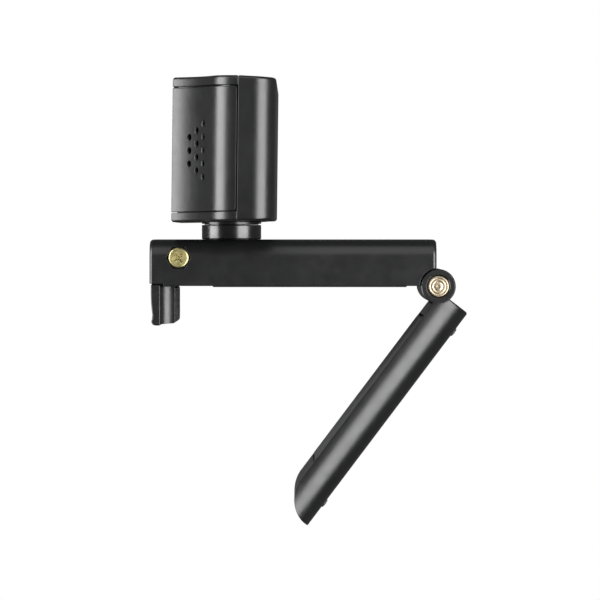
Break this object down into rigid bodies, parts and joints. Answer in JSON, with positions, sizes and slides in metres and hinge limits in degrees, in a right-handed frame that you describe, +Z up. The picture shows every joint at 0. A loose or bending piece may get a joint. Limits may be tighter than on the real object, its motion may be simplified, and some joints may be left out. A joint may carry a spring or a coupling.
{
  "type": "webcam",
  "caption": "Webcam with a wide rounded head swivelling on a neck above a folding screen clip: flat arm with tripod thread, hinged front hook and long hinged rear leg.",
  "frame": {"origin": "centre of the tripod thread's mouth, on the underside of the arm", "axes": "+Z up along the neck, -Y the way the camera looks, +X the camera's left-hand end"},
  "size_m": [0.096, 0.0735, 0.1031],
  "materials": {
    "housing_black": "satin black moulded plastic, fine texture",
    "panel_black": "satin black moulded plastic, fine texture",
    "cover_black": "plain matt black moulding",
    "rubber_black": "matt grip rubber",
    "rubber_feet": "small moulded rubber feet",
    "neck_gloss": "smooth turned and polished black",
    "bezel_gloss": "polished black ring",
    "window_glass": "clear cover window, smoked edge",
    "lens_glass": "coated lens element",
    "filter_glass": "infrared filter",
    "lens_black": "matt black lens barrel",
    "sensor_dark": "image sensor package",
    "pin_brass": "machined brass, fine turning marks",
    "pin_nickel": "nickel-brass pin, turned end",
    "insert_brass": "knurled brass insert",
    "screw_steel": "zinc-plated steel",
    "screw_black": "black-oxide steel",
    "spring_steel": "hardened spring steel",
    "can_tin": "tinned sheet",
    "board_green": "solder-masked glass-fibre board",
    "socket_ivory": "nylon socket",
    "led_body": "diffused package",
    "light_guide": "clear light guide",
    "foam_black": "closed-cell foam"
  },
  "bodies": {
    "arm": {"arm_shell": "housing_black", "arm_cover": "cover_black", "arm_pad": "rubber_black", "cover_screws": "screw_steel", "tripod_insert": "insert_brass", "swivel_neck": "neck_gloss", "hook_pin": "pin_brass", "hook_nut": "pin_brass", "hinge_pin": "pin_nickel", "hinge_washers": "screw_steel"},
    "head": {"front_frame": "housing_black", "front_panel": "panel_black", "rear_shell": "housing_black", "case_screws": "screw_black", "cable_grommet": "rubber_black", "lens_bezel": "bezel_gloss", "lens_window": "window_glass", "lens_barrel": "lens_black", "lens_glass": "lens_glass", "lens_holder": "lens_black", "ir_filter": "filter_glass", "image_sensor": "sensor_dark", "main_board": "board_green", "board_screws": "screw_steel", "shield_can": "can_tin", "cable_socket": "socket_ivory", "status_led": "led_body", "light_pipe": "light_guide", "mic_gaskets": "foam_black", "mic_boards": "board_green", "mic_capsules": "can_tin", "swivel_collar": "neck_gloss", "swivel_plate": "screw_steel", "plate_screws": "screw_steel", "swivel_washer": "screw_steel", "swivel_spring": "spring_steel", "swivel_screw": "screw_steel"},
    "hook": {"hook_body": "housing_black", "hook_pad": "rubber_black"},
    "leg": {"leg_shell": "housing_black", "leg_cover": "cover_black", "leg_pad": "rubber_black", "leg_feet": "rubber_feet", "leg_screws": "screw_steel"}
  },
  "joints": [
    {"name": "head_swivel", "type": "hinge", "parent": "arm", "child": "head", "pos_m": [0, -0.0172, 0.014], "axis": [0, 0, 1], "range_deg": [-170, 170]},
    {"name": "hook_hinge", "type": "hinge", "parent": "arm", "child": "hook", "pos_m": [0, -0.0291, 0.0068], "axis": [1, 0, 0], "range_deg": [0, 34]},
    {"name": "leg_hinge", "type": "hinge", "parent": "arm", "child": "leg", "pos_m": [0, 0.0307, 0.0002], "axis": [1, 0, 0], "range_deg": [-40, 127]}
  ]
}
